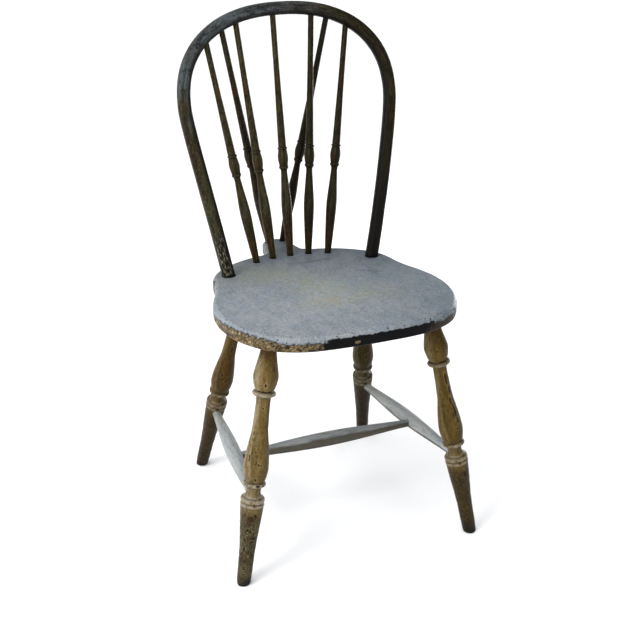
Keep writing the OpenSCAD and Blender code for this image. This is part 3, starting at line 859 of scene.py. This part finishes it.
def bow_paint():
    """The bow: slate-grey old paint on the left of the arch, dark olive wood lower down, pale
    flakes at the left foot, and almost black on its inner face. It is painted darker towards the
    right and almost black low on the right and at its feet: painted shade."""
    m = Finish("bow_paint", "local")
    streaks = m.noise((420, 420, 22), 5, 0.6)
    rust = m.noise((75, 75, 16))
    green = m.noise((90, 90, 18))
    fine = m.noise((1500, 1500, 300), 4, 0.7)
    specks = m.noise((1000, 1000, 300), 3, 0.6)
    mottle = m.noise((190, 190, 70), 5, 0.75)
    grit = m.noise((430, 430, 240), 3, 0.65)
    flakes = m.noise((620, 620, 110), 5, 0.75)
    m.colour = m.two_tone(streaks, 0.38, 0.62, (30, 25, 12), (50, 43, 22))
    m.spots(green, 0.50, 0.62, 0.55, (58, 60, 40))
    m.spots(rust, 0.57, 0.67, 0.55, (70, 42, 20))
    slate = m.step(m.plus("height", m.times(m.plus(green, -0.5), 0.7)), 0.58, 0.84)
    slate = m.times(slate, m.ramp("X", 0.14, -0.04))
    m.cover(slate, m.two_tone(streaks, 0.35, 0.65, (44, 49, 51), (74, 81, 86)), 0.9)
    m.spots(mottle, 0.51, 0.60, 0.8, (17, 14, 10))
    m.spots(mottle, 0.43, 0.33, 0.5, (84, 76, 46))
    m.spots(specks, 0.65, 0.71, 0.7, (118, 114, 98))
    m.spots(grit, 0.57, 0.65, 0.7, (14, 12, 9))
    m.spots(grit, 0.40, 0.32, 0.45, (104, 98, 76))
    low = m.step(m.plus("height", m.times(green, 0.1)), 0.25, 0.19)
    low_left = m.times(low, m.ramp("X", 0.0, -0.05))
    m.cover(low_left, (16, 13, 10), 0.85)
    m.spots(flakes, 0.53, 0.60, 0.85, (132, 127, 110), low_left)
    m.cover("inner", (16, 11, 8), 0.85)
    m.cover("crack", (20, 16, 12), 0.6)
    m.cover("gone", (20, 16, 11), 0.85)
    # Darker at the feet, where the bow meets the seat: painted contact shade
    m.cover("grime_and_contact_shade", (16, 13, 10), 0.85)
    # Darker towards the right, and almost black low on the right: painted shade
    m.darken(m.ramp("X", 0.02, 0.12), (200, 196, 176))
    low_right = m.times(m.ramp("X", 0.06, 0.11), m.step("height", 0.60, 0.15))
    m.cover(low_right, (11, 9, 7), 0.9)
    return m.finish(m.step(fine, 0.1, 0.9, 0.78), 0.00025, (fine, 0.6), (streaks, 0.7))


def stretcher_paint(name, under_from, shade):
    """Pale grey-blue paint, with lilac and green tints. The part that faces down by more than
    under_from is dark brown, near black at the bottom: painted shade. Shade is a colour that
    the coat is multiplied by, partly its own tone and partly painted shade, and the back half
    is painted darker as shade."""
    m = Finish(name, "local")
    streaks = m.noise((420, 420, 26), 5, 0.6)
    tint = m.noise((80, 80, 14), 3)
    fine = m.noise((1500, 1500, 300), 4, 0.7)
    specks = m.noise((1000, 1000, 400), 3, 0.6)
    mottle = m.noise((230, 230, 90), 5, 0.75)
    m.colour = m.two_tone(tint, 0.35, 0.65, (166, 169, 171), (144, 150, 158))
    m.spots(streaks, 0.52, 0.68, 0.55, (124, 128, 124))
    m.spots(tint, 0.58, 0.70, 0.4, (140, 146, 128))
    m.spots(mottle, 0.52, 0.66, 0.6, (104, 110, 112))
    m.spots(mottle, 0.44, 0.33, 0.4, (176, 180, 178))
    # The coat is multiplied by its shade, partly its own tone and partly painted shade; the back half
    # is painted darker as shade
    m.darken(1.0, shade)
    m.darken(m.ramp("Y", 0.0, 0.14), (232, 230, 220))
    # The underside is darker brown, near black at the bottom: painted shade under the stick
    lie = m.plus("down_side", m.times(m.plus(tint, -0.5), 0.9))
    under = m.step(lie, under_from, under_from + 0.45)
    m.cover(under, m.two_tone(streaks, 0.4, 0.6, (50, 48, 38), (66, 56, 39)), 0.85)
    m.spots("down_side", 0.30, 0.60, 0.85, (24, 20, 15))
    m.spots(specks, 0.32, 0.27, 0.8, (58, 50, 38))
    m.cover("gone", (70, 54, 36), 0.85)
    return m.finish(m.step(fine, 0.1, 0.9, 0.72), 0.00025, (fine, 0.6), (streaks, 0.6))


def joints_on_seat():
    """Middle and radius of each foot that stands on the seat."""
    sticks = [spindle_line(i) for i in range(1, 6)] + [brace_line(side) for side in (LEFT, RIGHT)]
    return [(line[0], SPINDLE_BODY * MM) for line in sticks] + [
        (lean_back(np.array(side * BOW_FOOT_X), np.array(0.0)), BOW_T / 2)
        for side in (LEFT, RIGHT)]


# Patches of the seat's top, as the oval method takes them
WORN_PATCHES = [
    (-0.078, 0.054, -20, 0.060, 0.040), (0.003, -0.028, -60, 0.070, 0.045),
    (0.068, -0.086, -30, 0.045, 0.030), (-0.014, -0.101, 0, 0.050, 0.030)]
TAN_SPOT = (-0.005, -0.095, 10, 0.014, 0.010)
# Scratches on it, each as such a patch, then how strong it is and its colour
SEAT_MARKS = [
    (0.106, 0.001, -30, 0.018, 0.0014, 0.9, (52, 56, 62)),
    (0.084, 0.012, -8, 0.010, 0.0010, 0.7, (58, 62, 68)),
    (0.000, -0.018, -87, 0.034, 0.0016, 0.4, (152, 152, 138)),
    (-0.110, -0.035, -70, 0.024, 0.0020, 0.4, (152, 158, 146)),
    (-0.060, -0.130, -80, 0.018, 0.0014, 0.4, (158, 162, 162)),
    (0.120, -0.090, 40, 0.016, 0.0010, 0.6, (76, 82, 90)),
    (0.030, 0.090, 5, 0.040, 0.0050, 0.5, (78, 84, 90))]


def seat_paint():
    """Grey-blue paint rubbed thin in the middle, over tan paint and dark wood at the edge.
    Painted shade darkens its back, its right side and a ring round each stick's foot.
    """
    m = Finish("seat_paint")
    grain = m.noise((330, 14, 60), 5, 0.6)
    cloud = m.noise((26, 17, 20), 4, 0.6, 0.6)
    small_cloud = m.noise((70, 44, 50), 4, 0.65, 0.4)
    fine = m.noise((1400, 500, 900), 4, 0.7)
    specks = m.noise((700, 420, 700), 3, 0.6)
    lilac = m.noise((34, 60, 40), 3, 0.6, 0.5)
    mottle = m.noise((230, 150, 200), 5, 0.75)
    m.colour = m.two_tone(cloud, 0.34, 0.66, (117, 125, 132), (131, 136, 138))
    m.spots(small_cloud, 0.48, 0.66, 0.6, (98, 106, 114))
    m.spots(lilac, 0.52, 0.66, 0.45, (128, 125, 138))
    m.spots(lilac, 0.46, 0.34, 0.45, (114, 124, 120))
    worn = 0.0
    for patch in WORN_PATCHES:
        worn = m.maths("MAXIMUM", worn, m.oval(*patch, 0.9))
    worn = m.times(worn, m.step(m.plus(small_cloud, m.times(grain, 0.3)), 0.48, 0.74))
    m.cover(worn, (132, 134, 122), 0.9)
    m.spots(grain, 0.54, 0.64, 0.3, (132, 124, 106), worn)
    m.spots(mottle, 0.52, 0.66, 0.6, (84, 90, 98))
    m.spots(mottle, 0.45, 0.33, 0.6, (162, 164, 160))
    m.spots(grain, 0.56, 0.70, 0.25, (94, 103, 110))
    m.spots(grain, 0.42, 0.30, 0.2, (148, 154, 156))
    near_front = m.plus(m.times(m.ramp("Y", -0.12, -0.23), 0.07), 0.35)
    m.spots(m.maths("SUBTRACT", near_front, specks), -0.01, 0.05, 0.75, (62, 68, 76))
    m.spots(mottle, 0.40, 0.56, 0.5, (140, 126, 102), m.oval(*TAN_SPOT, 0.6))
    for *mark, strength, tone in SEAT_MARKS:
        m.spots(fine, 0.2, 0.6, strength, tone, m.oval(*mark))
    m.spots(specks, 0.68, 0.75, 0.4, (162, 166, 163))
    # Darker towards the back, where the bow and spindles stand: painted shade
    m.darken(m.ramp("Y", -0.08, 0.15), (206, 208, 210))
    # Darker towards the right side: painted shade
    m.darken(m.ramp("X", -0.05, 0.17), (216, 220, 225))
    # A dark ring round the foot of each stick and of the bow: a dark joint line with painted contact
    # shade
    joint_line_and_shade = 0.0
    for middle, radius in joints_on_seat():
        near = m.near(middle, radius + 2.4 * MM, radius + 0.4 * MM)
        joint_line_and_shade = m.maths("MAXIMUM", joint_line_and_shade, near)
    m.cover(joint_line_and_shade, (28, 26, 24), 0.8)
    tan = m.two_tone(small_cloud, 0.4, 0.6, (144, 126, 92), (120, 102, 70))
    tan = m.blend(m.step(specks, 0.64, 0.72, 0.6), tan, (166, 152, 122))
    tan = m.blend(m.ramp("X", 0.06, 0.10), tan, (44, 38, 30))
    m.cover("edge", m.blend(m.times("crack", 0.9), tan, (34, 25, 17)))
    m.spots(mottle, 0.34, 0.50, 0.95, (28, 28, 27), "line")
    m.cover("gone", m.two_tone(grain, 0.4, 0.6, (24, 20, 18), (44, 35, 27)))
    m.cover("bare", m.two_tone(mottle, 0.5, 0.66, (2, 2, 4), (14, 12, 13)))
    m.cover("spot_rim", (124, 124, 116), 0.6)
    m.cover("spot", (26, 24, 21))
    return m.finish(m.step(fine, 0.1, 0.9, 0.78), 0.0003, (fine, 0.5), (grain, 0.7))


# ---- The chair ----

# Chips of each leg's paint: how far down, the turn, the length and the width, as chip_field takes
FRONT_LEFT_CHIPS = [
    (72, -16, 7, 3.5), (113, -14, 4, 3), (155, -62, 9, 3), (84.5, -30, 3, 22), (84, 20, 2.5, 8),
    (205, -10, 5, 3), (206, 2, 4, 2), (232, -16, 6, 4), (300, -22, 9, 12), (303, -10, 5, 6),
    (321, -30, 6, 4), (323, -16, 5, 6), (336, 8, 6, 16), (343, 2, 5, 7), (356, -44, 12, 3),
    (196, -60, 14, 2), (243, 0, 4, 8)]
FRONT_RIGHT_CHIPS = [
    (62, -20, 6, 3), (118, 14, 24, 5), (140, 24, 18, 4.5), (160, 10, 14, 4), (178, 22, 26, 5),
    (186, 8, 14, 3), (196, 26, 12, 4), (210, 12, 6, 4), (85, 0, 3, 16), (300, 10, 14, 4),
    (316, -12, 8, 5), (338, 14, 12, 4)]
BACK_LEFT_CHIPS = [(76, -20, 8, 5), (130, 0, 14, 3), (190, -30, 8, 5), (305, -10, 12, 6)]
BACK_RIGHT_CHIPS = [(66, -8, 7, 4), (120, -20, 10, 3), (200, -6, 9, 5), (310, -20, 14, 6)]


def build_legs():
    # After each leg's chips come its shade, partly the coat's own tone and partly painted shade, and
    # its flecks
    legs = (("leg_front_left", LEFT, True, FRONT_LEFT_CHIPS, (228, 225, 220), 0.95),
            ("leg_front_right", RIGHT, True, FRONT_RIGHT_CHIPS, (186, 177, 140), 0.5),
            ("leg_back_left", LEFT, False, BACK_LEFT_CHIPS, (160, 142, 96), 0.6),
            ("leg_back_right", RIGHT, False, BACK_RIGHT_CHIPS, (124, 121, 82), 0.4))
    for number, (node, side, front, chips, shade, flecks) in enumerate(legs):
        paint = leg_paint(node + "_paint", shade, flecks)
        top, foot = leg_line(side, front)
        length = np.linalg.norm(foot - top)
        piece = turned_piece(node + "_turned", top, foot, leg_stations(length), LEG_STEP,
                             leg_wear(3 + number, chips, length), paint)
        level_foot(piece, top, foot)
        fit_in(piece, node)


SLANTED = 30 * MM  # the stretch of a leg that level_foot slants


def points_of(piece):
    p = np.empty(len(piece.data.vertices) * 3)
    piece.data.vertices.foreach_get("co", p)
    return p.reshape(-1, 3)


def level_foot(piece, top, foot):
    """Slants the leg's last stretch so that its end lies level on the floor."""
    length = np.linalg.norm(foot - top)
    axis = unit(foot - top)
    p = points_of(piece)
    s = (p - top) @ axis
    to_floor = s - length - p[:, 2] / axis[2]
    share = np.maximum((s - length) / SLANTED + 1, 0)
    p += np.outer(share * to_floor, axis)
    piece.data.vertices.foreach_set("co", p.ravel())
    piece.data.update()


def build_spindles():
    wood = back_wood("spindle_wood", 0.6, (255, 255, 255))
    red_wood = back_wood("brace_wood", 1.0, (215, 205, 200))
    sticks = [("spindle_%d" % i, spindle_line(i), stick_wear(20 + i, 0.01), wood)
              for i in range(1, 6)]
    sticks += [("brace_" + word, brace_line(side), stick_wear(31 + side, 0.03), red_wood)
               for side, word in ((LEFT, "left"), (RIGHT, "right"))]
    for node, (foot, tip), wear, paint in sticks:
        piece = turned_piece(node + "_turned", foot, tip,
                             spindle_stations(np.linalg.norm(tip - foot)), STICK_STEP, wear, paint)
        fit_in(piece, node)


def build_stretchers():
    # Each stretcher's shade is partly its coat's own tone and partly painted shade; the cross
    # stretcher under the seat is the darkest
    paints = {LEFT: stretcher_paint("left_stretcher_paint", -0.1, (228, 228, 222)),
              RIGHT: stretcher_paint("right_stretcher_paint", -0.2, (248, 246, 240))}
    cross_paint = stretcher_paint("cross_stretcher_paint", -0.8, (208, 207, 202))
    ends = []
    for side, word in ((LEFT, "left"), (RIGHT, "right")):
        a, b = side_stretcher_line(side)
        ends.append(a + (b - a) * CROSS_PLACE)
        add_stretcher("stretcher_" + word, a, b, SIDE_END_R, LEG_RING_R + 3 * MM, 9 * MM,
                      44 + side, paints[side])
    add_stretcher("stretcher_cross", *ends, CROSS_END_R, STRETCHER_MID_R + 3 * MM, 8 * MM, 47,
                  cross_paint)


def add_stretcher(node, a, b, end_r, plain, enter, seed, paint):
    """A stretcher from a to b. Its ends are plain for that far and start at the distance enter."""
    length = np.linalg.norm(b - a)
    piece = turned_piece(node + "_turned", a, b, stretcher_stations(length, end_r, plain, enter),
                         STRETCHER_STEP, stretcher_wear(seed), paint)
    down_side(piece, a, b)
    fit_in(piece, node)


def down_side(piece, a, b):
    """Keeps how far each point of a stretcher faces down: 1 underneath and -1 on top."""
    axis = unit(b - a)
    down = unit(np.array([0, 0, -1]) + axis * axis[2])
    p = points_of(piece) - a
    share = (p @ down) / np.maximum(np.linalg.norm(p - np.outer(p @ axis, axis), axis=1), 1 * MM)
    add_field(piece.data, "down_side", share)


def build_chair():
    fit_in(build_seat(seat_paint()), "seat")
    fit_in(build_bow(bow_paint()), "bow")
    build_spindles()
    build_legs()
    build_stretchers()


# ---- Stage ----

FLOOR_HALF = 30


def add_floor():
    m = Finish("floor")
    m.join((0.92, 0.92, 0.92, 1), m.shader.inputs["Base Color"])
    m.join(0.9, m.shader.inputs["Roughness"])
    corners = np.array([(-1, -1, 0), (1, -1, 0), (1, 1, 0), (-1, 1, 0)]) * FLOOR_HALF
    add_mesh("floor", corners, [(0, 1, 2, 3)], {}, m.material)


LIT_POINT = Vector((0, 0, 0.4))


def add_light(name, place, size, power):
    """A round white lamp at place, size metres across, that shines at the chair's middle."""
    data = bpy.data.lights.new(name, "AREA")
    data.shape = "DISK"
    data.size = size
    data.energy = power
    light = add_object(name, data)
    light.location = place
    light.rotation_euler = (LIT_POINT - Vector(place)).to_track_quat("-Z", "Y").to_euler()


def add_lights():
    """A large lamp at the upper left, and a weaker one low down behind the chair on the right."""
    add_light("key", (-1.7, -0.8, 2.2), 1.1, 34)
    add_light("fill", (2.0, 1.3, 0.5), 1.0, 24)


def add_sky():
    """Light from all round, with the most from the upper left. The sky itself looks plain white."""
    world = bpy.data.worlds.new("world")
    world.use_nodes = True
    sky = Graph(world.node_tree)
    brightest = Vector((-0.80, -0.25, 0.55)).normalized()
    toward = sky.add("VectorMath", {0: sky.add("TexCoord", {})["Generated"], 1: brightest},
                     operation="DOT_PRODUCT")["Value"]
    light = sky.nodes["Background"]
    light.inputs["Color"].default_value = (0.98, 0.99, 1, 1)
    sky.join(sky.step(toward, -0.3, 0.9, 1.85, 0.36), light.inputs["Strength"])
    seen = sky.add("Background", {"Color": (1, 1, 1, 1)})[0]
    by_camera = sky.add("LightPath", {})["Is Camera Ray"]
    either = sky.add("MixShader", {0: by_camera, 1: light.outputs[0], 2: seen})[0]
    sky.join(either, sky.nodes["World Output"].inputs["Surface"])
    bpy.context.scene.world = world


def add_camera():
    """A camera in front of the chair, to its left, and above it."""
    data = bpy.data.cameras.new("camera")
    data.lens = 60
    data.sensor_width = 36
    data.shift_x = 0.0184
    data.shift_y = -0.0141
    camera = add_object("camera", data)
    camera.location = (-0.5999, -1.6218, 1.0860)
    yaw, pitch, roll = (math.radians(a) for a in (-19.8, -22.2, -1.0))
    level = math.pi / 2
    turn = (Matrix.Rotation(yaw, 3, "Z") @ Matrix.Rotation(level + pitch, 3, "X")
            @ Matrix.Rotation(roll, 3, "Z"))
    camera.rotation_euler = turn.to_euler()
    bpy.context.scene.camera = camera


build_chair()
add_floor()
add_lights()
add_sky()
add_camera()
bpy.context.scene.view_settings.view_transform = "Standard"
